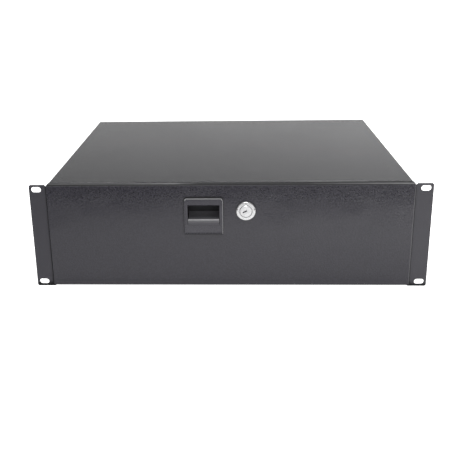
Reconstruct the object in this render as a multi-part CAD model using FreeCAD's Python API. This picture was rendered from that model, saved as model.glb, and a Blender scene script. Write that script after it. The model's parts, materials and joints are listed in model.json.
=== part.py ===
"""Sliding rack drawer, 3U, for a 19 inch rack: a folded steel housing with rack ears, a folded steel drawer
on three-section ball-bearing slides, a moulded slam latch and a cam lock.

Millimetres. X is the width, +Y runs to the back of the rack, +Z is up. The origin is the centre of the four
rack slots in the plane of the ears' front faces.
"""
import FreeCAD, Part
import os
from math import atan2, cos, pi, radians, sin, tan

V = FreeCAD.Vector
UX = V(1, 0, 0)
UY = V(0, 1, 0)
UZ = V(0, 0, 1)

# rack standard
RACK_UNIT = 44.45
UNITS = 3
EAR_WIDTH = 21.3            # ear beyond the body's side
EAR_GAP = 0.85              # clearance in the rack height
SLOT_EDGE = 8.75            # slot centre to the ear's outer edge
SLOT_UNIT_EDGE = 6.35       # slot centre to the edge of the rack space
SLOT_LENGTH = 12.0
SLOT_WIDTH = 7.0
EAR_CORNER_R = 2.3

# housing
BODY_WIDTH = 440.0
BODY_DEPTH = 350.0          # behind the ears' front plane
TOP_DROP = 0.2              # housing top below the ears' top edge
HOUSING_SHEET = 1.5
HOUSING_BEND = 0.3          # inside bend radius
MOUTH_SETBACK = 10.0        # top lip and base behind the ears' front plane
STRIKE_DEPTH = 11.3         # height of the folded lip that the latch and the lock catch
LIP_INSET = 3.0             # folded lip ends this far inside the body's sides
BASE_FLANGE = 16.0
REAR_FLANGE = 11.0

# drawer
FRONT_SHEET = 1.5
FRONT_BEND = 0.8
FRONT_GAP = 0.3             # behind the front, before the ears
FRONT_BOTTOM_RISE = 1.2     # front's lower edge above the ears' lower edge
RETURN_GAP = 1.5            # top and bottom returns end before the housing's mouth
RETURN_INSET = 3.0          # bottom return ends this far inside the front's side edges
RELIEF_GAP = 0.6            # ears' relief under the top return
TRAY_SHEET = 1.2
TRAY_BEND = 0.7
TRAY_FLOOR_GAP = 2.75       # tray over the housing base
TRAY_TOP_GAP = 12.15        # tray under the folded lip
TRAY_REAR_ROOM = 19.0       # tray's rear edge before the housing's rear face
HEM_GAP = 1.6
HEM_DEPTH = 8.0
HEM_CLEARANCE = 1.9         # drawer back and flanges under the hems
WALL_FLANGE = 13.0

# ball-bearing slides
SLIDE_THICKNESS = 12.7
SLIDE_HALF_HEIGHT = 22.85
SLIDE_START = 14.0
SLIDE_REAR_ROOM = 36.0      # slide's rear end before the housing's rear face
SLIDE_CENTRE_Z = -15.0
OUTER_SHEET = 1.2
MIDDLE_SHEET = 1.0
INNER_SHEET = 1.1
CAGE_SHEET = 0.5
OUTER_BALL_R = 1.8
INNER_BALL_R = 1.5
RACE_CLEARANCE = 0.05
BALL_POCKET = 0.1
CAGE_LENGTH = 146.0
BALLS_IN_ROW = 6
BUMPER_LENGTH = 3.7
BUMPER_GAP = 0.3
WINDOW_LENGTH = 18.0
WINDOW_HEIGHT = 8.0
WINDOW_END = 56.0           # window centre to the member's end

# latch
LATCH_X = -30.6
LATCH_DROP = 15.5           # frame's upper edge below the front's upper edge
LATCH_WIDTH = 47.2
LATCH_HEIGHT = 47.0
LATCH_PROUD = 2.4
LATCH_RIM = 1.5
LATCH_RIM_HEIGHT = 0.8
LATCH_WALL = 1.3
FRAME_SIDE = 2.9            # frame beyond the case at the sides
FRAME_END = 1.1             # frame beyond the case above and below
POCKET_SIDE = 1.5           # pocket inside the case at the sides
POCKET_DROP = 10.25         # pocket's roof below the frame's upper edge
POCKET_DEPTH = 13.0
LIP_RISE = 19.75            # finger lip above the frame's lower edge
LIP_HEIGHT = 7.4
LIP_PROUD = 0.8             # finger lip in front of the rim
SCOOP_RISE = 4.6            # pocket floor's rear edge over the lip
LATCH_TRAVEL = 4.0
RELEASE_GAP = 1.15          # pressed bolt clears the folded lip
BOLT_WIDTH = 16.0
BOLT_THICKNESS = 6.1
BOLT_CLEARANCE = 0.9        # bolt behind the folded lip
CASE_ROOM = 3.5             # bolt to the case's rear face
SPRING_SPREAD = 12.0
SPRING_R = 3.0
SPRING_WIRE_R = 0.4
SPRING_TURNS = 5

# lock
LOCK_X = 20.3
LOCK_DROP = 32.85           # lock centre below the front's upper edge
LOCK_HEAD_R = 11.75
LOCK_HEAD_PROUD = 2.8
LOCK_BARREL_R = 9.4
LOCK_FLATS = 16.4
BARREL_BACK = 0.5           # barrel ends before the folded lip's rear face
PLUG_R = 7.25
PLUG_CLEARANCE = 0.05
KEYWAY_LENGTH = 5.4
KEYWAY_WIDTH = 1.7
KEYWAY_TILT = 24.0
CAM_CATCH = 4.9             # turned cam above the folded lip's lower edge
CAM_SHEET = 2.0
CAM_GAP = 0.9               # cam behind the barrel
LOCK_NUT_FLATS = 24.0
LOCK_NUT_HEIGHT = 4.5
LOCK_NUT_FLANGE_R = 13.6
NOTCH_ANGLES = (168, 12)    # notches in the head's rim, anticlockwise from the right

# fasteners
RIVET_R = 1.6
RIVET_HEAD_R = 2.6
SCREW_R = 2.0
HOLE_CLEARANCE = 0.1
BASE_RIVET_END = 30.0
BASE_RIVET_RISE = 9.5
REAR_RIVET_INSET = 19.0
OUTER_SCREW_END = 31.0
INNER_SCREW_END = 46.0
WALL_RIVET_INSET = 7.1
WALL_RIVET_LOW = 10.7
WALL_RIVET_HIGH = 22.6
STUD_INSET = 24.6
STUD_LOW = 24.25
STUD_HIGH = 30.75
STUD_LENGTH = 7.1
STUD_CHAMFER = 0.5
STUD_NUT_FLATS = 7.0
STUD_NUT_HEIGHT = 3.8
STUD_NUT_FLANGE_R = 4.6

# positions that follow
EAR_SPAN = BODY_WIDTH + 2 * EAR_WIDTH
EAR_HEIGHT = UNITS * RACK_UNIT - EAR_GAP
EAR_TOP = EAR_HEIGHT / 2
BOTTOM = -EAR_TOP
TOP = EAR_TOP - TOP_DROP
SLOT_X = EAR_SPAN / 2 - SLOT_EDGE
SLOT_Z = UNITS * RACK_UNIT / 2 - SLOT_UNIT_EDGE
SIDE_OUT = BODY_WIDTH / 2
SIDE_IN = SIDE_OUT - HOUSING_SHEET
FRONT_BACK_FACE = -FRONT_GAP
FRONT_FACE = FRONT_BACK_FACE - FRONT_SHEET
LIP_BACK = MOUTH_SETBACK + HOUSING_SHEET
STRIKE_BOTTOM = TOP - STRIKE_DEPTH
TRAY_OUT = SIDE_IN - SLIDE_THICKNESS
TRAY_IN = TRAY_OUT - TRAY_SHEET
TRAY_UNDER = BOTTOM + HOUSING_SHEET + TRAY_FLOOR_GAP
TRAY_FLOOR = TRAY_UNDER + TRAY_SHEET
TRAY_TOP = STRIKE_BOTTOM - TRAY_TOP_GAP
INNER_WALL_BACK = FRONT_BACK_FACE + TRAY_SHEET
TRAY_END = BODY_DEPTH - TRAY_REAR_ROOM
WALL_LOW = TRAY_FLOOR + 1
WALL_TOP = TRAY_TOP - HEM_DEPTH - HEM_CLEARANCE
SLIDE_END = BODY_DEPTH - SLIDE_REAR_ROOM
SLIDE_LENGTH = SLIDE_END - SLIDE_START
LATCH_TOP = EAR_TOP - LATCH_DROP
LATCH_LOW = LATCH_TOP - LATCH_HEIGHT
LATCH_FACE = FRONT_FACE - LATCH_PROUD
CASE_X0 = LATCH_X - LATCH_WIDTH / 2 + FRAME_SIDE
CASE_X1 = LATCH_X + LATCH_WIDTH / 2 - FRAME_SIDE
CASE_BOTTOM = LATCH_LOW + FRAME_END
CASE_TOP = LATCH_TOP - FRAME_END
POCKET_X0 = CASE_X0 + POCKET_SIDE
POCKET_X1 = CASE_X1 - POCKET_SIDE
POCKET_TOP = LATCH_TOP - POCKET_DROP
LIP_TOP = LATCH_LOW + LIP_RISE
LIP_BOTTOM = LIP_TOP - LIP_HEIGHT
LIP_FACE = LATCH_FACE - LIP_PROUD
BOLT_TOP = STRIKE_BOTTOM + LATCH_TRAVEL - RELEASE_GAP
BOLT_FRONT = LIP_BACK + BOLT_CLEARANCE
BOLT_BACK = BOLT_FRONT + BOLT_THICKNESS
CASE_BACK = BOLT_BACK + CASE_ROOM
LOCK_Z = EAR_TOP - LOCK_DROP
LOCK_BARREL_END = LIP_BACK - BARREL_BACK
CAM_REACH = STRIKE_BOTTOM + CAM_CATCH - LOCK_Z


# ---- shared operations ----

def xz(y):
    return lambda u, v: V(u, y, v)


def yz(x):
    return lambda u, v: V(x, u, v)


def xy(z):
    return lambda u, v: V(u, v, z)


def bent_strip(path, thickness, bend, place):
    """Face of a bent sheet's section: straight legs along the path, joined by arcs about the bend centres.

    path is the middle of the sheet, bend the inside radius, place maps the section into space.
    """
    half = thickness / 2
    radius = bend + half
    pts = [V(p[0], p[1], 0) for p in path]
    left = []
    right = []
    start = pts[0]
    for i in range(1, len(pts)):
        direction = (pts[i] - pts[i - 1]).normalize()
        normal = V(-direction.y, direction.x, 0)
        if i < len(pts) - 1:
            after = (pts[i + 1] - pts[i]).normalize()
            turn = atan2(direction.x * after.y - direction.y * after.x, direction.dot(after))
            setback = radius * tan(abs(turn) / 2)
            end = pts[i] - direction * setback
        else:
            turn = 0
            end = pts[i]
        left.append(("line", start + normal * half, end + normal * half))
        right.append(("line", start - normal * half, end - normal * half))
        if turn:
            side = 1 if turn > 0 else -1
            centre = end + normal * radius * side
            for edge, sign in ((left, 1), (right, -1)):
                r = radius - side * sign * half
                arm = normal * -side * r
                mid = V(arm.x * cos(turn / 2) - arm.y * sin(turn / 2),
                        arm.x * sin(turn / 2) + arm.y * cos(turn / 2), 0)
                last = V(arm.x * cos(turn) - arm.y * sin(turn), arm.x * sin(turn) + arm.y * cos(turn), 0)
                edge.append(("arc", centre + arm, centre + mid, centre + last))
            start = pts[i] + after * setback
    ring = [("line", right[0][1], left[0][1])] + left + [("line", left[-1][-1], right[-1][-1])]
    for piece in reversed(right):
        ring.append((piece[0],) + tuple(reversed(piece[1:])))
    edges = []
    for piece in ring:
        points = [place(p.x, p.y) for p in piece[1:]]
        if piece[0] == "line":
            edges.append(Part.LineSegment(points[0], points[1]).toShape())
        else:
            edges.append(Part.Arc(points[0], points[1], points[2]).toShape())
    return Part.Face(Part.Wire(edges))


def folded(path, thickness, bend, place, run):
    return bent_strip(path, thickness, bend, place).extrude(run)


def block(x0, x1, y0, y1, z0, z1):
    return Part.makeBox(x1 - x0, y1 - y0, z1 - z0, V(x0, y0, z0))


def prism(points, place, run):
    corners = [place(u, v) for u, v in points]
    return Part.Face(Part.makePolygon(corners + corners[:1])).extrude(run)


def curved(start, legs, place):
    """Face whose outline runs from start over the legs: (end) is a straight leg, (middle, end) an arc."""
    edges = []
    at = start
    for leg in legs + [(start,)]:
        if len(leg) == 2:
            edges.append(Part.Arc(place(*at), place(*leg[0]), place(*leg[1])).toShape())
        elif leg[0] != at:
            edges.append(Part.LineSegment(place(*at), place(*leg[0])).toShape())
        at = leg[-1]
    return Part.Face(Part.Wire(edges))


def turned(profile, centre, axis):
    """Solid of revolution: profile is (radius, distance along the axis), turned about the axis."""
    side = UZ if abs(axis.z) < 0.5 else UX
    corners = [centre + side * r + axis * d for r, d in profile]
    return Part.Face(Part.makePolygon(corners + corners[:1])).revolve(centre, axis, 360)


def rod(centre, axis, radius, length):
    return Part.makeCylinder(radius, length, centre, axis)


def slot_hole(x, z, length, width, y0, y1):
    half = (length - width) / 2
    ends = [rod(V(x + s * half, y0, z), UY, width / 2, y1 - y0) for s in (-1, 1)]
    middle = block(x - half, x + half, y0, y1, z - width / 2, z + width / 2)
    return middle.fuse(ends)


def join(shapes):
    return shapes[0].fuse(shapes[1:]).removeSplitter()


def round_edges(shape, radius, wanted):
    edges = [e for e in shape.Edges if wanted(e.BoundBox)]
    return shape.makeFillet(radius, edges)


def bevel_edges(shape, size, wanted):
    edges = [e for e in shape.Edges if wanted(e.BoundBox)]
    return shape.makeChamfer(size, edges)


def mirrored(shape):
    return shape.mirror(V(0, 0, 0), UX)


# ---- fastener positions ----

def spread(first, last, count):
    return [first + (last - first) * k / (count - 1) for k in range(count)]


BASE_RIVETS = [V(s * SIDE_OUT, y, BOTTOM + BASE_RIVET_RISE) for s in (-1, 1)
               for y in spread(MOUTH_SETBACK + BASE_RIVET_END, BODY_DEPTH - BASE_RIVET_END, 3)]
REAR_RIVETS = [V(s * SIDE_OUT, BODY_DEPTH - REAR_FLANGE / 2, z) for s in (-1, 1)
               for z in (BOTTOM + BASE_FLANGE + REAR_RIVET_INSET, TOP - REAR_RIVET_INSET)]
OUTER_SCREWS = [V(s * SIDE_OUT, y, SLIDE_CENTRE_Z) for s in (-1, 1)
                for y in spread(SLIDE_START + OUTER_SCREW_END, SLIDE_END - OUTER_SCREW_END, 3)]
INNER_SCREWS = [V(s * TRAY_IN, y, SLIDE_CENTRE_Z) for s in (-1, 1)
                for y in spread(SLIDE_START + INNER_SCREW_END, SLIDE_END - INNER_SCREW_END, 3)]
WALL_RIVETS = [V(s * TRAY_OUT, y, z) for s in (-1, 1)
               for y in (INNER_WALL_BACK + WALL_RIVET_INSET, TRAY_END - WALL_RIVET_INSET)
               for z in (TRAY_FLOOR + WALL_RIVET_LOW, TRAY_TOP - WALL_RIVET_HIGH)]
STUDS = [V(s * (TRAY_IN - STUD_INSET), FRONT_BACK_FACE, z) for s in (-1, 1)
         for z in (BOTTOM + STUD_LOW, STRIKE_BOTTOM - STUD_HIGH)]


def outward(point):
    return UX if point.x > 0 else -UX


# ---- housing ----

def rack_ear():
    """Right ear with the strip of side wall that it is folded from, relieved for the front's return."""
    mid = HOUSING_SHEET / 2
    path = [(SIDE_OUT - mid, LIP_BACK), (SIDE_OUT - mid, mid), (EAR_SPAN / 2, mid)]
    ear = folded(path, HOUSING_SHEET, HOUSING_BEND, xy(BOTTOM), UZ * EAR_HEIGHT)
    floor = EAR_TOP - FRONT_SHEET - RELIEF_GAP
    relief = [(SIDE_IN - 1, floor), (SIDE_OUT + 0.6, floor), (SIDE_OUT + 2.7, EAR_TOP + 0.1),
              (SIDE_OUT + 2.7, EAR_TOP + 1), (SIDE_IN - 1, EAR_TOP + 1)]
    ear = ear.cut(prism(relief, xz(-1), UY * (MOUTH_SETBACK + 5)))
    for z in (-SLOT_Z, SLOT_Z):
        ear = ear.cut(slot_hole(SLOT_X, z, SLOT_LENGTH, SLOT_WIDTH, -1, HOUSING_SHEET + 1))
    return round_edges(ear, EAR_CORNER_R,
                       lambda b: b.XMin > EAR_SPAN / 2 - 0.01 and b.XLength < 0.01 and b.ZLength < 0.01
                       and b.YLength > 1)


def housing_wrap():
    mid = HOUSING_SHEET / 2
    path = [(-SIDE_OUT + mid, BOTTOM), (-SIDE_OUT + mid, TOP - mid), (SIDE_OUT - mid, TOP - mid),
            (SIDE_OUT - mid, BOTTOM)]
    shell = folded(path, HOUSING_SHEET, HOUSING_BEND, xz(MOUTH_SETBACK), UY * (BODY_DEPTH - MOUTH_SETBACK))
    half = SIDE_OUT - LIP_INSET
    start = LIP_BACK + HOUSING_BEND + 0.2
    slit = half + 0.3
    shell = shell.cut(block(-slit, slit, MOUTH_SETBACK - 1, start, TOP - HOUSING_SHEET - 1, TOP + 1))
    path = [(start + 2, TOP - mid), (MOUTH_SETBACK + mid, TOP - mid), (MOUTH_SETBACK + mid, STRIKE_BOTTOM)]
    lip = folded(path, HOUSING_SHEET, HOUSING_BEND, yz(-half), UX * 2 * half)
    ear = rack_ear()
    wrap = join([shell, lip, ear, mirrored(ear)])
    rivets = BASE_RIVETS + REAR_RIVETS
    holes = [rod(p + outward(p) * 1, outward(p) * -1, RIVET_R + HOLE_CLEARANCE, 4) for p in rivets]
    holes += [rod(p + outward(p) * 1, outward(p) * -1, SCREW_R + HOLE_CLEARANCE, 4) for p in OUTER_SCREWS]
    return wrap.cut(holes)


def housing_base():
    mid = HOUSING_SHEET / 2
    path = [(-SIDE_IN + mid, BOTTOM + BASE_FLANGE), (-SIDE_IN + mid, BOTTOM + mid),
            (SIDE_IN - mid, BOTTOM + mid), (SIDE_IN - mid, BOTTOM + BASE_FLANGE)]
    length = BODY_DEPTH - HOUSING_SHEET - MOUTH_SETBACK
    base = folded(path, HOUSING_SHEET, HOUSING_BEND, xz(MOUTH_SETBACK), UY * length)
    holes = [rod(p + outward(p) * 1, outward(p) * -1, RIVET_R + HOLE_CLEARANCE, 6) for p in BASE_RIVETS]
    return base.cut(holes)


def housing_rear_panel():
    mid = HOUSING_SHEET / 2
    front = BODY_DEPTH - REAR_FLANGE
    path = [(-SIDE_IN + mid, front), (-SIDE_IN + mid, BODY_DEPTH - mid), (SIDE_IN - mid, BODY_DEPTH - mid),
            (SIDE_IN - mid, front)]
    low = BOTTOM + BASE_FLANGE + 1
    high = TOP - HOUSING_SHEET - 1.2
    pan = folded(path, HOUSING_SHEET, HOUSING_BEND, xy(low), UZ * (high - low))
    plate = block(-SIDE_IN + 2.5, SIDE_IN - 2.5, BODY_DEPTH - HOUSING_SHEET, BODY_DEPTH,
                  BOTTOM, TOP - HOUSING_SHEET)
    skirt = block(-SIDE_IN, SIDE_IN, BODY_DEPTH - HOUSING_SHEET, BODY_DEPTH, BOTTOM, low - 0.8)
    panel = join([pan, plate, skirt])
    holes = [rod(p + outward(p) * 1, outward(p) * -1, RIVET_R + HOLE_CLEARANCE, 6) for p in REAR_RIVETS]
    return panel.cut(holes)


def blind_rivet(head_at, axis, grip):
    """Domed blind rivet: the head stands out along the axis, the set end swells behind the grip."""
    profile = [(0, 1.2), (1.3, 1.0), (RIVET_HEAD_R, 0.3), (RIVET_HEAD_R, 0), (RIVET_R, 0), (RIVET_R, -grip),
               (RIVET_R + 0.7, -grip), (RIVET_R + 0.4, -grip - 1.4), (0, -grip - 1.4)]
    return turned(profile, head_at, axis)


def housing_rivets():
    rivets = BASE_RIVETS + REAR_RIVETS
    return Part.makeCompound([blind_rivet(p, outward(p), 2 * HOUSING_SHEET) for p in rivets])


def truss_screw(seat, axis, length):
    """Low truss-head screw with a hexagon socket; the head stands out along the axis."""
    profile = [(0, 1.9), (2.0, 1.8), (3.4, 1.2), (4.2, 0.2), (4.2, 0), (SCREW_R, 0), (SCREW_R, -length),
               (0, -length)]
    screw = turned(profile, seat, axis)
    side = UY if abs(axis.y) < 0.5 else UX
    across = axis.cross(side)
    ring = []
    for k in range(6):
        ring.append(seat + axis * 3 + (side * cos(k * pi / 3) + across * sin(k * pi / 3)) * 1.45)
    socket = Part.Face(Part.makePolygon(ring + ring[:1])).extrude(axis * -2.4)
    return screw.cut(socket)


def housing_slide_screws():
    grip = HOUSING_SHEET + OUTER_SHEET
    return Part.makeCompound([truss_screw(p, outward(p), grip) for p in OUTER_SCREWS])


# ---- slides: sections run from the housing side (0) to the drawer side (SLIDE_THICKNESS) ----

OUTER_BALL_Z = SLIDE_HALF_HEIGHT - OUTER_SHEET - RACE_CLEARANCE - OUTER_BALL_R
OUTER_BALL_S = 5.6
MIDDLE_FLANGE = OUTER_BALL_Z - OUTER_BALL_R - RACE_CLEARANCE - MIDDLE_SHEET / 2
INNER_BALL_Z = MIDDLE_FLANGE - MIDDLE_SHEET / 2 - RACE_CLEARANCE - INNER_BALL_R
INNER_BALL_S = 8.0
INNER_FLANGE = INNER_BALL_Z - INNER_BALL_R - RACE_CLEARANCE - INNER_SHEET / 2
CAGE_START = SLIDE_START + (SLIDE_LENGTH - CAGE_LENGTH) / 2


def member(half_path, thickness, bend, start, length):
    """Right-hand slide member: the half section from the middle up, mirrored down, run along Y."""
    upper = [(SIDE_IN - s, SLIDE_CENTRE_Z + h) for s, h in half_path]
    lower = [(SIDE_IN - s, SLIDE_CENTRE_Z - h) for s, h in reversed(half_path)]
    return folded(lower + upper, thickness, bend, xz(start), UY * length)


def slide_outer():
    web = OUTER_SHEET / 2
    crown = SLIDE_HALF_HEIGHT - web
    land = crown - 0.95
    path = [(web, land), (2.9, land), (3.9, crown), (7.3, crown), (8.3, land), (10.2, land),
            (10.2, land - 1.9)]
    shape = member(path, OUTER_SHEET, 0.3, SLIDE_START, SLIDE_LENGTH + BUMPER_GAP + BUMPER_LENGTH)
    holes = [rod(p + UX, -UX, SCREW_R + HOLE_CLEARANCE, 4) for p in OUTER_SCREWS if p.x > 0]
    return shape.cut(holes)


def slide_middle():
    land = MIDDLE_FLANGE + 0.85
    path = [(2.7, land), (3.8, land), (4.6, MIDDLE_FLANGE), (10.7, MIDDLE_FLANGE),
            (10.7, MIDDLE_FLANGE - 2.2)]
    shape = member(path, MIDDLE_SHEET, 0.2, SLIDE_START, SLIDE_LENGTH)
    windows = [slide_window(y) for y in spread(SLIDE_START + WINDOW_END, SLIDE_END - WINDOW_END, 3)]
    return shape.cut(windows)


def slide_window(y):
    """Oblong opening through a member's web."""
    half = (WINDOW_LENGTH - WINDOW_HEIGHT) / 2
    radius = WINDOW_HEIGHT / 2
    ends = [rod(V(SIDE_IN - 6, y + s * half, SLIDE_CENTRE_Z), UX, radius, 8) for s in (-1, 1)]
    middle = block(SIDE_IN - 6, SIDE_IN + 2, y - half, y + half,
                   SLIDE_CENTRE_Z - radius, SLIDE_CENTRE_Z + radius)
    return middle.fuse(ends)


def slide_inner():
    web = SLIDE_THICKNESS - INNER_SHEET / 2
    land = INNER_FLANGE + 0.8
    path = [(web, land), (10.5, land), (9.7, INNER_FLANGE), (6.3, INNER_FLANGE), (5.5, land), (4.9, land)]
    shape = member(path, INNER_SHEET, 0.2, SLIDE_START, SLIDE_LENGTH)
    holes = [rod(p - UX * 2, UX, SCREW_R + HOLE_CLEARANCE, 6) for p in INNER_SCREWS if p.x > 0]
    return shape.cut(holes)


def ball_seats(s, z):
    pitch = CAGE_LENGTH / BALLS_IN_ROW
    seats = []
    for k in range(BALLS_IN_ROW):
        for side in (-1, 1):
            seats.append(V(SIDE_IN - s, CAGE_START + (k + 0.5) * pitch, SLIDE_CENTRE_Z + side * z))
    return seats


def cage(web_s, end_s, ball_s, ball_z, ball_r):
    """Ball retainer: a thin channel with a round pocket for each ball."""
    shape = member([(web_s, ball_z), (end_s, ball_z)], CAGE_SHEET, 0.3, CAGE_START, CAGE_LENGTH)
    pockets = [rod(p - UZ, UZ, ball_r + BALL_POCKET, 2) for p in ball_seats(ball_s, ball_z)]
    return shape.cut(pockets)


def cage_outer():
    return cage(1.7, 8.2, OUTER_BALL_S, OUTER_BALL_Z, OUTER_BALL_R)


def cage_inner():
    return cage(4.0, 9.9, INNER_BALL_S, INNER_BALL_Z, INNER_BALL_R)


def ball(centre, radius):
    """Steel ball in eight-sided rings, which is as fine as its size needs."""
    rings = []
    for tilt in (30, 60, 90, 120, 150):
        r = radius * sin(radians(tilt))
        h = radius * cos(radians(tilt))
        rings.append([centre + V(r * cos(k * pi / 4), r * sin(k * pi / 4), h) for k in range(8)])
    faces = []
    for a, b in zip(rings, rings[1:]):
        for k in range(8):
            n = (k + 1) % 8
            faces.append(Part.Face(Part.makePolygon([a[k], b[k], b[n], a[n], a[k]])))
    for ring, pole in ((rings[0], centre + UZ * radius), (rings[-1], centre - UZ * radius)):
        for k in range(8):
            faces.append(Part.Face(Part.makePolygon([ring[k], ring[(k + 1) % 8], pole, ring[k]])))
    solid = Part.Solid(Part.Shell(faces))
    if solid.Volume < 0:
        solid.reverse()
    return solid


def balls(s, z, radius):
    return Part.makeCompound([ball(p, radius) for p in ball_seats(s, z)])


def slide_bumper():
    """Rubber stop held in the outer member's rear end."""
    start = SLIDE_END + BUMPER_GAP
    pad = block(SIDE_IN - 9, SIDE_IN - OUTER_SHEET, start, start + BUMPER_LENGTH, SLIDE_CENTRE_Z - 12,
                SLIDE_CENTRE_Z + 12)
    return round_edges(pad, 2, lambda b: b.XMin < SIDE_IN - 8.9 and b.XLength < 0.01 and b.YLength > 1)


# ---- drawer ----

def lock_opening(y0, y1):
    hole = rod(V(LOCK_X, y0, LOCK_Z), UY, LOCK_BARREL_R + 0.2, y1 - y0)
    half = LOCK_FLATS / 2 + 0.2
    reach = 2 * LOCK_BARREL_R
    return hole.common(block(LOCK_X - reach, LOCK_X + reach, y0, y1, LOCK_Z - half, LOCK_Z + half))


def latch_opening(y0, y1):
    return block(CASE_X0 - 0.2, CASE_X1 + 0.2, y0, y1, CASE_BOTTOM - 0.2, CASE_TOP + 0.2)


def drawer_front():
    """Folded front. The top return keeps the full width; the bottom one clears the housing's sides."""
    mid = FRONT_SHEET / 2
    low = BOTTOM + FRONT_BOTTOM_RISE + mid
    high = EAR_TOP - mid
    back = MOUTH_SETBACK - RETURN_GAP
    path = [(back, low), (FRONT_FACE + mid, low), (FRONT_FACE + mid, high), (back, high)]
    front = folded(path, FRONT_SHEET, FRONT_BEND, yz(-SIDE_OUT), UX * BODY_WIDTH)
    for x0 in (-SIDE_OUT, SIDE_OUT - RETURN_INSET):
        front = front.cut(block(x0, x0 + RETURN_INSET, FRONT_BACK_FACE, back + 1,
                                BOTTOM, EAR_TOP - FRONT_SHEET))
    front = round_edges(front, 0.6, lambda b: b.YMax < FRONT_FACE + 0.01 and b.ZLength > EAR_TOP)
    return front.cut([latch_opening(FRONT_FACE - 1, 1), lock_opening(FRONT_FACE - 1, 1)])


def drawer_inner_front():
    mid = TRAY_SHEET / 2
    y = INNER_WALL_BACK - mid
    x = TRAY_IN - mid
    path = [(-x, y + WALL_FLANGE), (-x, y), (x, y), (x, y + WALL_FLANGE)]
    wall = folded(path, TRAY_SHEET, TRAY_BEND, xy(WALL_LOW), UZ * (WALL_TOP - WALL_LOW))
    plate = block(-TRAY_IN + 2, TRAY_IN - 2, FRONT_BACK_FACE, INNER_WALL_BACK, WALL_LOW, STRIKE_BOTTOM - 1.3)
    wall = join([wall, plate])
    holes = [latch_opening(-2, 2), lock_opening(-2, 2)]
    holes += [rod(p - UY, UY, SCREW_R + HOLE_CLEARANCE, 4) for p in STUDS]
    holes += [rod(p + outward(p), outward(p) * -1, RIVET_R + HOLE_CLEARANCE, 6) for p in WALL_RIVETS]
    return wall.cut(holes)


def drawer_tray():
    """Floor and sides in one sheet, with the sides' top edges hemmed inwards."""
    mid = TRAY_SHEET / 2
    x = TRAY_OUT - mid
    hem = x - TRAY_SHEET - HEM_GAP
    top = TRAY_TOP - mid
    floor = TRAY_UNDER + mid
    path = [(-hem, top - HEM_DEPTH), (-hem, top), (-x, top), (-x, floor), (x, floor), (x, top), (hem, top),
            (hem, top - HEM_DEPTH)]
    tray = folded(path, TRAY_SHEET, TRAY_BEND, xz(INNER_WALL_BACK), UY * (TRAY_END - INNER_WALL_BACK))
    holes = [rod(p + outward(p), outward(p) * -1, RIVET_R + HOLE_CLEARANCE, 3) for p in WALL_RIVETS]
    holes += [rod(p - outward(p), outward(p), SCREW_R + HOLE_CLEARANCE, 4) for p in INNER_SCREWS]
    return tray.cut(holes)


def drawer_back():
    mid = TRAY_SHEET / 2
    y = TRAY_END - mid
    x = TRAY_IN - mid
    path = [(-x, y - WALL_FLANGE), (-x, y), (x, y), (x, y - WALL_FLANGE)]
    wall = folded(path, TRAY_SHEET, TRAY_BEND, xy(WALL_LOW), UZ * (WALL_TOP - WALL_LOW))
    holes = [rod(p + outward(p), outward(p) * -1, RIVET_R + HOLE_CLEARANCE, 6) for p in WALL_RIVETS]
    return wall.cut(holes)


def drawer_rivets():
    grip = 2 * TRAY_SHEET
    return Part.makeCompound([blind_rivet(p, outward(p), grip) for p in WALL_RIVETS])


def drawer_slide_screws():
    grip = TRAY_SHEET + INNER_SHEET
    return Part.makeCompound([truss_screw(p, outward(p) * -1, grip) for p in INNER_SCREWS])


def front_studs():
    """Weld studs that hold the front to the drawer's inner wall."""
    profile = [(0, 0), (SCREW_R, 0), (SCREW_R, STUD_LENGTH - STUD_CHAMFER),
               (SCREW_R - STUD_CHAMFER, STUD_LENGTH), (0, STUD_LENGTH)]
    return Part.makeCompound([turned(profile, p, UY) for p in STUDS])


def flanged_nut(seat, axis, bore_r, flats, height, flange_r):
    side = UX
    across = axis.cross(side)
    corner = flats / 2 / cos(pi / 6)
    ring = [seat + (side * cos(k * pi / 3) + across * sin(k * pi / 3)) * corner for k in range(6)]
    nut = Part.Face(Part.makePolygon(ring + ring[:1])).extrude(axis * height)
    crown = [(0, 0), (corner, 0), (corner, height - 0.6), (corner - 1, height), (0, height)]
    nut = nut.common(turned(crown, seat, axis))
    flange = turned([(0, 0), (flange_r, 0), (flange_r, 0.7), (flats / 2 - 0.2, 1.3), (0, 1.3)], seat, axis)
    return nut.fuse(flange).cut(rod(seat - axis, axis, bore_r, height + 2))


def front_nuts():
    return Part.makeCompound([flanged_nut(V(p.x, INNER_WALL_BACK, p.z), UY, SCREW_R,
                                          STUD_NUT_FLATS, STUD_NUT_HEIGHT, STUD_NUT_FLANGE_R)
                              for p in STUDS])


# ---- latch ----

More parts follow.
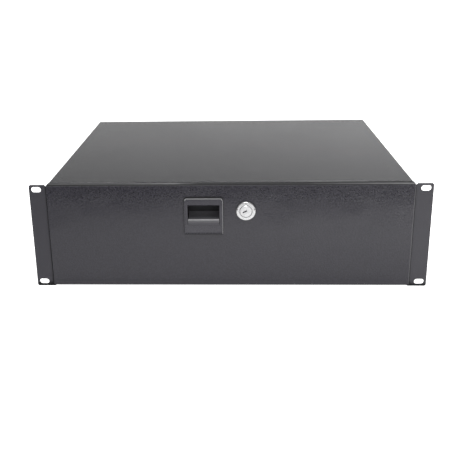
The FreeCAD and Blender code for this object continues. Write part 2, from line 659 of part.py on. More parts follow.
def latch_housing():
    """Moulded frame with a raised rounded rim, the case behind the front, and the finger pocket."""
    x0 = LATCH_X - LATCH_WIDTH / 2
    x1 = LATCH_X + LATCH_WIDTH / 2
    frame = block(x0, x1, LATCH_FACE, FRONT_FACE, LATCH_LOW, LATCH_TOP)
    frame = round_edges(frame, 3.5,
                        lambda b: b.ZMin > LATCH_TOP - 0.01 and b.XLength < 0.01 and b.YLength > 1)
    frame = round_edges(frame, 1.0,
                        lambda b: b.ZMax < LATCH_LOW + 0.01 and b.XLength < 0.01 and b.YLength > 1)
    frame = round_edges(frame, 0.9, lambda b: b.YMax < LATCH_FACE + 0.01)
    well = block(x0 + LATCH_RIM, x1 - LATCH_RIM, LATCH_FACE - 1, LATCH_FACE + LATCH_RIM_HEIGHT,
                 LATCH_LOW + LATCH_RIM, LATCH_TOP - LATCH_RIM)
    well = round_edges(well, 2.2, lambda b: b.ZMin > LATCH_TOP - LATCH_RIM - 0.01 and b.XLength < 0.01
                       and b.YLength > 1)
    case = block(CASE_X0, CASE_X1, FRONT_FACE, CASE_BACK, CASE_BOTTOM, CASE_TOP)
    shape = frame.cut(well).fuse(case)
    rear = CASE_BACK - LATCH_WALL
    floor = CASE_BOTTOM + LATCH_WALL
    works = block(CASE_X0 + LATCH_WALL, CASE_X1 - LATCH_WALL, FRONT_FACE + 1.2, rear, floor, POCKET_TOP)
    loft = block(CASE_X0 + LATCH_WALL, CASE_X1 - LATCH_WALL, FRONT_FACE + 1.2, rear,
                 POCKET_TOP + LATCH_WALL, CASE_TOP - LATCH_WALL)
    mouth = block(POCKET_X0, POCKET_X1, FRONT_FACE - 5, FRONT_FACE + 2, LIP_BOTTOM + 0.5, POCKET_TOP)
    well_floor = LATCH_FACE + LATCH_RIM_HEIGHT
    flare = 0.8
    above = [(well_floor - 0.1, POCKET_TOP - 1), (well_floor - 0.1, POCKET_TOP + flare + 0.1),
             (well_floor + flare, POCKET_TOP), (well_floor + flare, POCKET_TOP - 1)]
    edge = prism(above, yz(POCKET_X0), UX * (POCKET_X1 - POCKET_X0))
    stem = block(LATCH_X - BOLT_WIDTH / 2 - 0.4, LATCH_X + BOLT_WIDTH / 2 + 0.4,
                 BOLT_FRONT - 0.4, BOLT_BACK + 0.4, POCKET_TOP - 1, CASE_TOP + 1)
    shape = shape.cut([works, loft, mouth, edge, stem])
    cup = block(POCKET_X0 - 0.5, POCKET_X1 + 0.5, POCKET_DEPTH, POCKET_DEPTH + 1,
                LIP_TOP + 0.5, POCKET_TOP + 1)
    roof = block(POCKET_X0 - 0.5, POCKET_X1 + 0.5, FRONT_FACE + 1, POCKET_DEPTH + 1, POCKET_TOP,
                 POCKET_TOP + LATCH_WALL)
    shape = shape.fuse([cup, roof])
    top_slot = block(LATCH_X - BOLT_WIDTH / 2 - 0.4, LATCH_X + BOLT_WIDTH / 2 + 0.4, BOLT_FRONT - 0.4,
                     BOLT_BACK + 0.4, POCKET_TOP + LATCH_WALL, CASE_TOP + 1)
    return shape.cut(top_slot).removeSplitter()


def latch_slide():
    """One moulding: the rolled finger lip, the scooped floor of the pocket, the stem and the bolt."""
    half = (POCKET_X1 - POCKET_X0) / 2 - 0.5
    skirt = LATCH_FACE + LATCH_RIM_HEIGHT - 0.3
    skirt_face = skirt - 0.8
    under = LIP_TOP - 2.1
    roll = 1.2
    turn = roll * (1 - sin(pi / 4))
    scoop = POCKET_DEPTH - 0.4
    legs = [((LIP_FACE + turn, LIP_TOP - turn), (LIP_FACE, LIP_TOP - roll)),
            ((LIP_FACE, LIP_TOP - 2.2),),
            ((LIP_FACE + 0.15, LIP_TOP - 2.6), (skirt_face, LIP_TOP - 2.9)),
            ((skirt_face, LIP_BOTTOM + 0.5),),
            ((skirt_face + 0.15, LIP_BOTTOM + 0.15), (skirt_face + 0.5, LIP_BOTTOM)),
            ((skirt, LIP_BOTTOM),),
            ((skirt, under),),
            ((BOLT_BACK - 0.4, under),),
            ((BOLT_BACK - 0.4, LIP_TOP - 0.2),),
            ((scoop, LIP_TOP - 0.2),),
            ((scoop, LIP_TOP + SCOOP_RISE),),
            ((scoop / 2, LIP_TOP + 0.2), (0, LIP_TOP - 0.7)),
            ((LIP_FACE / 2, LIP_TOP - 0.35), (LIP_FACE + roll, LIP_TOP))]
    body = curved((LIP_FACE + roll, LIP_TOP), legs, yz(LATCH_X - half)).extrude(UX * 2 * half)
    bolt_half = BOLT_WIDTH / 2
    shoulder = POCKET_TOP + 6
    stem = block(LATCH_X - bolt_half, LATCH_X + bolt_half, POCKET_DEPTH + 2.2, BOLT_BACK,
                 under, shoulder + 1)
    nose = [(BOLT_FRONT, shoulder), (BOLT_BACK, shoulder), (BOLT_BACK, BOLT_TOP - 5.2),
            (BOLT_FRONT + 1.8, BOLT_TOP), (BOLT_FRONT, BOLT_TOP)]
    head = prism(nose, yz(LATCH_X - bolt_half), UX * BOLT_WIDTH)
    return join([body, stem, head])


def latch_springs():
    """Two compression springs between the case floor and the slide's web."""
    floor = CASE_BOTTOM + LATCH_WALL
    rise = LIP_TOP - 2.1 - floor - 2 * SPRING_WIRE_R - 0.1
    w = SPRING_WIRE_R
    coils = []
    for side in (-1, 1):
        path = Part.makeHelix(rise / SPRING_TURNS, rise, SPRING_R)
        ring = ((-1, 0), (0, -1), (1, 0), (0, 1), (-1, 0))
        section = Part.makePolygon([V(SPRING_R + a * w, 0, b * w) for a, b in ring])
        coil = Part.Wire(path.Edges).makePipeShell([section], True, True)
        coil.translate(V(LATCH_X + side * SPRING_SPREAD, 7.0, floor + w + 0.05))
        coils.append(coil)
    return Part.makeCompound(coils)


def latch_clip():
    """Sprung steel strap that holds the latch case against the drawer's inner wall."""
    sheet = 0.8
    y = INNER_WALL_BACK + sheet / 2
    left = CASE_X0 - 0.2 - sheet / 2
    right = CASE_X1 + 0.2 + sheet / 2
    back = CASE_BACK + 0.2 + sheet / 2
    path = [(left - 6.5, y), (left, y), (left, back), (right, back), (right, y), (right + 6.5, y)]
    return folded(path, sheet, 0.8, xy((LATCH_LOW + LATCH_TOP) / 2 - 6), UZ * 12)


# ---- lock ----

def lock_cylinder():
    """Barrel with its flats and the round head, which carries two index notches and a dimple."""
    bore = PLUG_R + PLUG_CLEARANCE
    head = FRONT_FACE - LOCK_HEAD_PROUD
    shoulder = 1.5
    turn = shoulder * (1 - sin(pi / 4))
    start = (bore, head + 0.5)
    legs = [((bore + 0.5, head),),
            ((LOCK_HEAD_R - shoulder, head),),
            ((LOCK_HEAD_R - turn, head + turn), (LOCK_HEAD_R, head + shoulder)),
            ((LOCK_HEAD_R, FRONT_FACE),),
            ((LOCK_BARREL_R, FRONT_FACE),),
            ((LOCK_BARREL_R, LOCK_BARREL_END),),
            ((bore, LOCK_BARREL_END),)]
    section = curved(start, legs, lambda r, y: V(LOCK_X + r, y, LOCK_Z))
    shape = section.revolve(V(LOCK_X, 0, LOCK_Z), UY, 360)
    half = LOCK_FLATS / 2
    for z0 in (LOCK_Z + half, LOCK_Z - half - 5):
        shape = shape.cut(block(LOCK_X - LOCK_HEAD_R, LOCK_X + LOCK_HEAD_R,
                                FRONT_FACE, LOCK_BARREL_END + 1, z0, z0 + 5))
    for angle in NOTCH_ANGLES:
        notch = block(LOCK_HEAD_R - 1.9, LOCK_HEAD_R + 1, head - 1, head + 1.0, -0.5, 0.5)
        notch.rotate(V(0, 0, 0), UY, -angle)
        notch.translate(V(LOCK_X, 0, LOCK_Z))
        shape = shape.cut(notch)
    return shape.cut(rod(V(LOCK_X, head - 1, LOCK_Z + LOCK_HEAD_R - 2.4), UY, 0.6, 1.5))


def lock_nut():
    return flanged_nut(V(LOCK_X, INNER_WALL_BACK, LOCK_Z), UY, LOCK_BARREL_R,
                       LOCK_NUT_FLATS, LOCK_NUT_HEIGHT, LOCK_NUT_FLANGE_R)


def lock_plug():
    """Plug with its keyway, and the squared tail that carries the cam."""
    face = FRONT_FACE - LOCK_HEAD_PROUD - 0.2
    seat = LOCK_BARREL_END + 0.3
    profile = [(0, face), (PLUG_R - 0.4, face), (PLUG_R, face + 0.4), (PLUG_R, seat), (4.2, seat),
               (4.2, LOCK_BARREL_END + 3.0), (0, LOCK_BARREL_END + 3.0)]
    shape = turned(profile, V(LOCK_X, 0, LOCK_Z), UY)
    tail = block(LOCK_X - 10, LOCK_X + 10, seat, LOCK_BARREL_END + 4, LOCK_Z - 3.2, LOCK_Z + 3.2)
    body = shape.common(block(LOCK_X - 10, LOCK_X + 10, face - 1, seat, LOCK_Z - 10, LOCK_Z + 10))
    shape = body.fuse(shape.common(tail)).removeSplitter()
    keyway = block(-KEYWAY_LENGTH / 2, KEYWAY_LENGTH / 2, face - 1, face + 12,
                   -KEYWAY_WIDTH / 2, KEYWAY_WIDTH / 2)
    keyway.rotate(V(0, 0, 0), UY, -KEYWAY_TILT)
    keyway.translate(V(LOCK_X - 1.2, 0, LOCK_Z - 0.3))
    return shape.cut(keyway)


def lock_cam():
    y = LOCK_BARREL_END + CAM_GAP
    hub = rod(V(LOCK_X, y, LOCK_Z), UY, 7.5, CAM_SHEET)
    arm = block(LOCK_X, LOCK_X + CAM_REACH, y, y + CAM_SHEET, LOCK_Z - 5, LOCK_Z + 5)
    arm = round_edges(arm, 3, lambda b: b.XMin > LOCK_X + 20 and b.XLength < 0.01 and b.ZLength < 0.01)
    cam = hub.fuse(arm).removeSplitter()
    square = rod(V(LOCK_X, y - 1, LOCK_Z), UY, 4.3, CAM_SHEET + 2)
    square = square.common(block(LOCK_X - 5, LOCK_X + 5, y - 1, y + 4, LOCK_Z - 3.3, LOCK_Z + 3.3))
    return cam.cut(square)


def lock_cam_screw():
    y = LOCK_BARREL_END + 3.0
    profile = [(0, y), (6.0, y), (6.0, y + 0.8), (4.0, y + 0.9), (3.8, y + 2.2), (2.6, y + 2.9),
               (0, y + 2.9)]
    screw = turned(profile, V(LOCK_X, 0, LOCK_Z), UY)
    for angle in (0, 90):
        blade = block(-1.8, 1.8, y + 1.5, y + 4, -0.35, 0.35)
        blade.rotate(V(0, 0, 0), UY, angle)
        blade.translate(V(LOCK_X, 0, LOCK_Z))
        screw = screw.cut(blade)
    return screw


# ---- write one file per piece ----

def main():
    os.makedirs("parts", exist_ok=True)
    pieces = {
        "housing_wrap": housing_wrap(),
        "housing_base": housing_base(),
        "housing_rear_panel": housing_rear_panel(),
        "housing_rivets": housing_rivets(),
        "housing_slide_screws": housing_slide_screws(),
        "drawer_front": drawer_front(),
        "drawer_inner_front": drawer_inner_front(),
        "drawer_tray": drawer_tray(),
        "drawer_back": drawer_back(),
        "drawer_rivets": drawer_rivets(),
        "drawer_slide_screws": drawer_slide_screws(),
        "front_studs": front_studs(),
        "front_nuts": front_nuts(),
        "latch_housing": latch_housing(),
        "latch_slide": latch_slide(),
        "latch_springs": latch_springs(),
        "latch_clip": latch_clip(),
        "lock_cylinder": lock_cylinder(),
        "lock_nut": lock_nut(),
        "lock_plug": lock_plug(),
        "lock_cam": lock_cam(),
        "lock_cam_screw": lock_cam_screw(),
    }
    right_hand = {
        "slide_outer": slide_outer(),
        "slide_middle": slide_middle(),
        "slide_inner": slide_inner(),
        "slide_cage_outer": cage_outer(),
        "slide_cage_inner": cage_inner(),
        "slide_balls_outer": balls(OUTER_BALL_S, OUTER_BALL_Z, OUTER_BALL_R),
        "slide_balls_inner": balls(INNER_BALL_S, INNER_BALL_Z, INNER_BALL_R),
        "slide_bumper": slide_bumper(),
    }
    for name, shape in right_hand.items():
        pieces[name + "_right"] = shape
        pieces[name + "_left"] = mirrored(shape)
    for name, shape in pieces.items():
        shape.exportStep("parts/" + name + ".step")


main()
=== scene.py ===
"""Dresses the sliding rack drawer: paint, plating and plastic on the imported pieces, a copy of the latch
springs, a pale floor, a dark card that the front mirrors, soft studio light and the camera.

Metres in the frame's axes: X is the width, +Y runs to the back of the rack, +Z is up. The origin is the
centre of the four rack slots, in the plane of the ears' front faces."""
import json
from math import cos, radians, sin

import bpy
from mathutils import Matrix, Vector


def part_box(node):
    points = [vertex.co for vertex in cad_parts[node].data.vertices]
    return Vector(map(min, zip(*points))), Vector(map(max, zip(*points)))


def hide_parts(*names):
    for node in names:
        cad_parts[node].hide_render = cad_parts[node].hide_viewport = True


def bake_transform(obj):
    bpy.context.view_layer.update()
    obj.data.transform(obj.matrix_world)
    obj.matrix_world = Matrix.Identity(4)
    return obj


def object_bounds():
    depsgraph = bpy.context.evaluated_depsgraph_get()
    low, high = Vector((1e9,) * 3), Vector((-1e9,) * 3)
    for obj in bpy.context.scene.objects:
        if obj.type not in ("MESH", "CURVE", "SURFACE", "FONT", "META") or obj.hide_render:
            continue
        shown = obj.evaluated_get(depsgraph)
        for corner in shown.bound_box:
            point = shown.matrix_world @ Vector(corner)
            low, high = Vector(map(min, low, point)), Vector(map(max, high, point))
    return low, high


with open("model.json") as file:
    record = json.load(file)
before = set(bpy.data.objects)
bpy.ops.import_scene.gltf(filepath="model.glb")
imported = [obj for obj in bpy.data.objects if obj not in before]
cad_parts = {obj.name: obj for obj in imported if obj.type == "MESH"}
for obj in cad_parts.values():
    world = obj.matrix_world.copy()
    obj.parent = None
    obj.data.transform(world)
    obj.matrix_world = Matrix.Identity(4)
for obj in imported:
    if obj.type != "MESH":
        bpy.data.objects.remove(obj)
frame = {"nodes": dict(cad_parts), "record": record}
cad_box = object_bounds()
nodes = frame["nodes"]
MM = 0.001

# places on the pieces
EAR_BACK = 2 * MM               # just behind the ears' sheet
EAR_REACH = 240 * MM            # from the middle to near the ears' outer edges
MOUTH_SETBACK = 10 * MM         # cover's front edge behind the ears' front faces
LATCH_CORNER_R = 3.4 * MM       # upper corners of the latch's rim
LIP_TOP = 23.5 * MM             # top of the finger lip

# painted highlight along an edge, as (part of its length from the left, level)
FOLD_HIGHLIGHT = ((0.0, 0.5), (0.20, 0.55), (0.27, 0.8), (0.35, 1.0), (0.385, 0.4), (0.42, 0.05), (0.70, 0.05),
              (0.75, 0.25), (0.83, 0.5), (0.91, 0.8), (1.0, 1.0))
COVER_EDGE_HIGHLIGHT = ((0.0, 0.05), (0.40, 0.1), (0.50, 0.35), (0.62, 0.4), (0.72, 1.0), (0.82, 1.0), (0.88, 0.3),
               (1.0, 0.3))

SHADOW = (0.004, 0.004, 0.005)      # steps and gaps that little light reaches
NOISE_LOW, NOISE_HIGH = 0.3, 0.7    # most of a noise's values lie between these


# ---- nodes ----

def new_material(name):
    material = bpy.data.materials.new(name)
    material.use_nodes = True
    return material, material.node_tree


def shader_input(tree, name):
    return tree.nodes["Principled BSDF"].inputs[name]


def feed(tree, socket, value):
    """Gives a socket another socket's output, a colour or a plain number."""
    if isinstance(value, bpy.types.NodeSocket):
        tree.links.new(value, socket)
    elif isinstance(value, tuple):
        socket.default_value = (*value, 1)
    else:
        socket.default_value = value


def add(tree, kind, **sockets):
    node = tree.nodes.new(kind)
    for name, value in sockets.items():
        feed(tree, node.inputs[name], value)
    return node


def object_coords(tree):
    return tree.nodes.new("ShaderNodeTexCoord").outputs["Object"]


def axes(tree, vector):
    parts = add(tree, "ShaderNodeSeparateXYZ", Vector=vector)
    return parts.outputs["X"], parts.outputs["Y"], parts.outputs["Z"]


def position(tree):
    return axes(tree, object_coords(tree))


def ray(tree, property_name):
    return tree.nodes.new("ShaderNodeLightPath").outputs[property_name]


def grain(tree, coords, scale, detail=2.0, roughness=0.5):
    """Noise with about this many patches to a metre."""
    noise = add(tree, "ShaderNodeTexNoise", Vector=coords, Scale=scale, Detail=detail, Roughness=roughness)
    return noise.outputs["Fac"]


def combine(tree, operation, *values):
    node = tree.nodes.new("ShaderNodeMath")
    node.operation = operation
    for socket, value in zip(node.inputs, values):
        feed(tree, socket, value)
    return node.outputs["Value"]


def multiply(tree, product, *factors):
    for factor in factors:
        product = combine(tree, "MULTIPLY", product, factor)
    return product


def span(tree, value, low, high, to_low, to_high):
    """Maps low to high onto to_low to to_high, and holds those two levels outside."""
    ramp = add(tree, "ShaderNodeMapRange", Value=value)
    for name, level in (("From Min", low), ("From Max", high), ("To Min", to_low), ("To Max", to_high)):
        ramp.inputs[name].default_value = level
    return ramp.outputs["Result"]


def rise(tree, value, low, high):
    """0 up to low, 1 from high on."""
    return span(tree, value, low, high, 0, 1)


def fall(tree, value, low, high):
    """1 up to low, 0 from high on."""
    return span(tree, value, low, high, 1, 0)


def band(tree, value, start, steps):
    """1 between the middle two of four steps, 0 outside the outer two. Steps are millimetres from start."""
    begin, full, fade, end = (start + step * MM for step in steps)
    return multiply(tree, rise(tree, value, begin, full), fall(tree, value, fade, end))


def curve(tree, value, points):
    """A smooth curve through (position, level) pairs, with positions from 0 to 1."""
    ramp = add(tree, "ShaderNodeValToRGB", Fac=value)
    ramp.color_ramp.interpolation = "EASE"
    stops = ramp.color_ramp.elements
    while len(stops) < len(points):
        stops.new(0.5)
    for stop, (place, level) in zip(stops, points):
        stop.position = place
        stop.color = (level, level, level, 1)
    return ramp.outputs["Color"]


def mixed(tree, factor, first, second):
    """Goes from first to second as factor goes from 0 to 1. Where second is a tuple, it mixes colours."""
    mix = tree.nodes.new("ShaderNodeMix")
    mix.data_type = "RGBA" if isinstance(second, tuple) else "FLOAT"
    for name, value in (("Factor", factor), ("A", first), ("B", second)):
        feed(tree, mix.inputs[name], value)
    return mix.outputs["Result"]


def crevice(tree, reach, shut, open_sky):
    """1 in the corner against a step, a rim or a gap, 0 in the open."""
    hollow = add(tree, "ShaderNodeAmbientOcclusion", Distance=reach)
    hollow.samples = 16
    return fall(tree, hollow.outputs["AO"], shut, open_sky)


def scaled(colour, factor):
    return tuple(level * factor for level in colour)


def surface(tree, colour, roughness, *bumps):
    """Feeds the shader. A bump is its height, strength and distance, and each lies on the one before."""
    feed(tree, shader_input(tree, "Base Color"), colour)
    feed(tree, shader_input(tree, "Roughness"), roughness)
    normal = shader_input(tree, "Normal")
    for height, strength, distance in reversed(bumps):
        bump = add(tree, "ShaderNodeBump", Height=height, Strength=strength, Distance=distance)
        tree.links.new(bump.outputs["Normal"], normal)
        normal = bump.inputs["Normal"]


def recoat(tree, factor, colour=None, roughness=None):
    """Moves the shader's colour or roughness, or both, from what feeds it now toward these, by a factor."""
    for name, value in (("Base Color", colour), ("Roughness", roughness)):
        if value is not None:
            socket = shader_input(tree, name)
            tree.links.new(mixed(tree, factor, socket.links[0].from_socket, value), socket)


# ---- materials ----

def powder_coat(name, colour, roughness, speck=0.25, relief=0.2 * MM, cloud=0.02, wave=0.1 * MM):
    """Fine textured powder coat: close grain over a slow sway in its relief, tiny light and dark specks,
    and slow changes of sheen. Relief is the depth of the coarser grain, and wave that of the sway."""
    material, tree = new_material(name)
    coords = object_coords(tree)
    fine = grain(tree, coords, 900, 3.0, 0.6)
    coarse = grain(tree, coords, 440, 2.0, 0.6)
    sway = grain(tree, coords, 22, 1.0)
    slow = grain(tree, coords, 9)
    specks = mixed(tree, rise(tree, fine, 0.35, 0.65),
                   scaled(colour, 1 - speck), scaled(colour, 1 + speck))
    sheen = span(tree, slow, NOISE_LOW, NOISE_HIGH, roughness - cloud, roughness + cloud)
    surface(tree, specks, sheen, (fine, 0.55, 0.05 * MM), (coarse, 0.8, relief), (sway, 0.8, wave))
    return material


def moulded_plastic(name, colour, roughness):
    """Satin black nylon with the fine spark-eroded grain of its mould."""
    material, tree = new_material(name)
    coords = object_coords(tree)
    fine = grain(tree, coords, 2600)
    slow = grain(tree, coords, 60)
    tone = mixed(tree, rise(tree, slow, NOISE_LOW, NOISE_HIGH), colour, scaled(colour, 1.2))
    sheen = span(tree, fine, NOISE_LOW, NOISE_HIGH, roughness - 0.04, roughness + 0.06)
    surface(tree, tone, sheen, (fine, 0.3, 0.02 * MM))
    return material


def plated_steel(name, colour, roughness, along=(1, 1, 1)):
    """Plated metal: faint drawing lines and a slow change of tone."""
    material, tree = new_material(name)
    coords = object_coords(tree)
    stretch = add(tree, "ShaderNodeMapping", Vector=coords)
    stretch.inputs["Scale"].default_value = along
    lines = grain(tree, stretch.outputs["Vector"], 1500)
    slow = grain(tree, coords, 30)
    tone = mixed(tree, rise(tree, slow, NOISE_LOW, NOISE_HIGH), scaled(colour, 0.88), colour)
    sheen = span(tree, lines, NOISE_LOW, NOISE_HIGH, roughness - 0.05, roughness + 0.07)
    surface(tree, tone, sheen, (lines, 0.15, 0.02 * MM))
    shader_input(tree, "Metallic").default_value = 1.0
    return material


def rubber(name):
    material, tree = new_material(name)
    fine = grain(tree, object_coords(tree), 900, 3.0)
    surface(tree, mixed(tree, fine, (0.012, 0.012, 0.012), (0.03, 0.03, 0.03)),
            span(tree, fine, NOISE_LOW, NOISE_HIGH, 0.75, 0.9))
    return material


# ---- coats, painted highlights and painted shade on single pieces ----

def paint_ears_coat_and_shade(material, colour, roughness):
    """The ears: a softer, paler coat than the cover's, with painted shade where the front's edge stands
    over them and a broader painted shadow further out on the left. All of the housing's coat is painted a
    little paler to the right, as painted light from that side."""
    tree = material.node_tree
    x, y, _ = position(tree)
    ears = fall(tree, y, EAR_BACK, 2 * EAR_BACK)
    recoat(tree, ears, colour, roughness)
    # painted light: the whole housing coat grows paler to the right, where more light falls
    recoat(tree, span(tree, x, -EAR_REACH, EAR_REACH, 0, 0.16), (0.09, 0.088, 0.095))
    # painted shadow on the ears next to the front's edge, broader on the left
    left = fall(tree, x, -10 * MM, 10 * MM)
    broad = multiply(tree, left, crevice(tree, 8 * MM, 0.79, 0.91))
    close = crevice(tree, 8 * MM, 0.62, 0.88)
    recoat(tree, multiply(tree, ears, combine(tree, "MAXIMUM", broad, close)), SHADOW, 1.0)


def paint_cover_edge_highlight(material, node):
    """The cover's front edge: a painted highlight, brighter to the right of its middle."""
    low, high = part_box(node)
    tree = material.node_tree
    x, y, z = position(tree)
    edge = band(tree, y, MOUTH_SETBACK, (-0.5, 0.2, 2.2, 4.0))
    upper = rise(tree, z, high.z - 2.6 * MM, high.z - 1.6 * MM)
    along = curve(tree, rise(tree, x, low.x, high.x), COVER_EDGE_HIGHLIGHT)
    # painted highlight along the cover's front edge
    recoat(tree, multiply(tree, edge, upper, along), (0.095, 0.095, 0.098))


def paint_front_light_and_shade(material, node):
    """The front: dark and pale flecks in its top band as a painted reflection, and its top fold painted
    dark as shade, with a painted highlight along the fold that is weak in its middle. Its right edge has a
    painted highlight, and painted shade lies in its corners and gaps."""
    low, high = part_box(node)
    tree = material.node_tree
    x, y, z = position(tree)
    speckle = grain(tree, object_coords(tree), 520, 2.0, 0.7)
    upper = rise(tree, z, high.z - 36 * MM, high.z - 15 * MM)
    # painted reflection: dark flecks where the noise is low, pale ones where it is high, in the top band
    # only, standing in for the coat's ripples mirroring the dark card
    for extreme, colour in ((0.40, (0.010, 0.0090, 0.0140)), (0.60, (0.033, 0.031, 0.0405))):
        recoat(tree, multiply(tree, upper, span(tree, speckle, 0.50, extreme, 0, 1)), colour)
    fold = rise(tree, z, high.z - 1.6 * MM, high.z - 0.5 * MM)
    # painted shade: the top fold is coloured darker than the coat, and made rougher
    recoat(tree, fold, (0.010, 0.010, 0.011), 0.95)
    # the painted highlight line lies further back at the left end than at the right
    line = combine(tree, "SUBTRACT", y, span(tree, x, low.x, high.x, 3.2 * MM, 0))
    sheen = curve(tree, rise(tree, x, low.x, high.x), FOLD_HIGHLIGHT)
    fold_highlight = multiply(tree, band(tree, line, low.y, (0.6, 1.6, 4.0, 5.4)), fold, sheen)
    # painted highlight along the top fold, where the lamps' reflections fall
    recoat(tree, fold_highlight, (0.125, 0.125, 0.13), 0.3)
    # painted highlight along the front's right edge
    recoat(tree, rise(tree, x, high.x - 1.3 * MM, high.x - 0.5 * MM), (0.085, 0.084, 0.090))
    # painted shade in corners, along steps and in gaps
    recoat(tree, crevice(tree, 4 * MM, 0.50, 0.74), SHADOW, 1.0)


def inset_from_top(tree, x, z, low, high, radius):
    """How far a point lies inside an outline with two rounded upper corners, up to the corners' radius."""
    side = combine(tree, "MAXIMUM", span(tree, x, low.x + radius, low.x, 0, radius),
                   span(tree, x, high.x - radius, high.x, 0, radius))
    up = span(tree, z, high.z - radius, high.z, 0, radius)
    squares = combine(tree, "ADD", multiply(tree, side, side), multiply(tree, up, up))
    return span(tree, combine(tree, "SQRT", squares), 0, radius, radius, 0)


def paint_latch_rim_light_and_shade(material, node, colour):
    """The latch's rim: painted highlights at the top and right, a painted shadow at its foot and painted
    shade along its outer top edge, and inside the pocket a matt grain, also painted darker as shade."""
    low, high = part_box(node)
    tree = material.node_tree
    x, y, z = position(tree)
    inset = inset_from_top(tree, x, z, low, high, LATCH_CORNER_R)
    upper = rise(tree, z, high.z - 4.2 * MM, high.z - 3.2 * MM)
    top = multiply(tree, upper, band(tree, inset, 0, (0.7, 1.1, 1.9, 2.5)))
    side = span(tree, x, high.x - 1.3 * MM, high.x - 0.6 * MM, 0, 0.55)
    outer = multiply(tree, upper, fall(tree, inset, 0.6 * MM, 1.0 * MM))
    foot = fall(tree, z, low.z + 0.8 * MM, low.z + 1.4 * MM)
    # painted highlights on the rim's top and right
    recoat(tree, combine(tree, "MAXIMUM", top, side), colour)
    # painted shade inside the pocket, with a matt (rougher) finish
    recoat(tree, rise(tree, y, 0.2 * MM, 3 * MM), (0.015, 0.0148, 0.018), 0.8)
    # painted shadow at the foot and painted shade along the outer top edge
    recoat(tree, combine(tree, "MAXIMUM", foot, outer), SHADOW, 0.9)


def paint_lip_highlight(material, node, colour):
    """The lip: its front face in a darker colour of its own, and its rolled top edge with a painted
    highlight over a paler painted band.
    """
    low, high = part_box(node)
    tree = material.node_tree
    _, y, z = position(tree)
    face = fall(tree, y, low.y + 1.6 * MM, low.y + 2.4 * MM)
    shoulder = rise(tree, z, LIP_TOP - 5.5 * MM, LIP_TOP - 2.5 * MM)
    crown = rise(tree, z, LIP_TOP - 1.9 * MM, LIP_TOP - 1.0 * MM)
    recoat(tree, face, (0.040, 0.038, 0.047))
    # painted highlight on the rolled top edge, over a paler painted band
    recoat(tree, multiply(tree, shoulder, face), (0.095, 0.093, 0.102))
    recoat(tree, multiply(tree, crown, face), colour)


def shade_crevices(material, reach, shut, open_sky, colour):
    """Painted shade in notches and grooves, which also get a duller finish."""
    tree = material.node_tree
    recoat(tree, crevice(tree, reach, shut, open_sky), colour, 0.7)


paint = powder_coat("housing_powder_coat", (0.022, 0.022, 0.0245), 0.23, cloud=0.01)
paint_ears_coat_and_shade(paint, (0.028, 0.0265, 0.0345), 0.5)
paint_cover_edge_highlight(paint, "housing_wrap")
front_paint = powder_coat("front_powder_coat", (0.0205, 0.0190, 0.0265), 0.16,
                          speck=0.2, relief=0.3 * MM, wave=1.3 * MM)
paint_front_light_and_shade(front_paint, "drawer_front")
black_plastic = moulded_plastic("latch_nylon", (0.0335, 0.0318, 0.0405), 0.25)
paint_latch_rim_light_and_shade(black_plastic, "latch_housing", (0.26, 0.259, 0.264))
# painted light: the slide's nylon is paler than the case's, standing in for the light on the pocket's
# scooped floor; the lip's front face is recoloured darker
lit_lip_plastic = moulded_plastic("latch_slide_nylon", (0.085, 0.0830, 0.092), 0.3)
paint_lip_highlight(lit_lip_plastic, "latch_slide", (0.20, 0.199, 0.205))
nickel = plated_steel("satin_nickel", (0.61, 0.61, 0.615), 0.22)
# painted shade in the lock's notches and grooves
shade_crevices(nickel, 1.6 * MM, 0.55, 0.9, (0.10, 0.10, 0.10))
black_fixing = powder_coat("black_fixing", (0.022, 0.022, 0.024), 0.4)

BY_SLOT = {
    "housing_paint": paint,
    "front_paint": front_paint,
    "drawer_paint": powder_coat("drawer_powder_coat", (0.030, 0.031, 0.034), 0.5),
    "slide_zinc": plated_steel("zinc_plate", (0.62, 0.63, 0.65), 0.34, (1, 0.03, 1)),
    "cage_steel": plated_steel("cage_steel", (0.5, 0.5, 0.51), 0.4, (1, 0.05, 1)),
    "ball_steel": plated_steel("ball_steel", (0.8, 0.8, 0.82), 0.12),
    "zinc_steel": plated_steel("fixing_zinc", (0.6, 0.6, 0.61), 0.35),
    "rivet_steel": black_fixing,
    "screw_black": black_fixing,
    "spring_steel": plated_steel("spring_steel", (0.4, 0.4, 0.42), 0.35),
    "latch_plastic": black_plastic,
    "latch_slide_plastic": lit_lip_plastic,
    "lock_chrome": nickel,
    "plug_chrome": plated_steel("plug_nickel", (0.67, 0.67, 0.675), 0.3),
    "bumper_rubber": rubber("stop_rubber"),
}
for entry in frame["record"]["subparts"]:
    mesh = nodes[entry["node"]].data
    mesh.materials.clear()
    mesh.materials.append(BY_SLOT[entry["material_slot"]])


# ---- the latch springs, copied into an object of their own ----

def sprung_coils(node):
    """The coils stand on the latch's case, and their upper ends go down with the finger slide in the real
    latch. Copies them into an object of their own and hides the imported piece.
    """
    coils = bpy.data.objects.new("latch_coils", nodes[node].data.copy())
    coils.matrix_world = nodes[node].matrix_world
    bpy.context.scene.collection.objects.link(coils)
    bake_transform(coils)
    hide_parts(node)


sprung_coils("latch_springs")


# ---- stage, light and camera ----

FLOOR_REACH = 12                        # from the middle to each edge
FLOOR_GLOW, FOOT_GLOW = 0.34, 0.055     # the paper's glow in front, and close to the object's foot
GLOW_DEPTH = (-0.26, -0.02)             # between these it sinks from the one to the other
GLOW_LEFT, GLOW_RIGHT = 0.15, 3.5       # factors on the glow, left and right
GLOW_WIDTH = (-0.3, 0.4)                # between these it goes from the one to the other
GLOW_TO_CAMERA = 1.05
CARD_HALF_WIDTH = 0.9
CARD_FRONT, CARD_BACK = -0.58, -0.322
CARD_LIFT = 0.5 * MM
CARD_BRIGHT, CARD_DARK = 0.30, 0.33     # rays up to the first length see paper, from the second on the card
PAPER_ROUGHNESS = 0.9

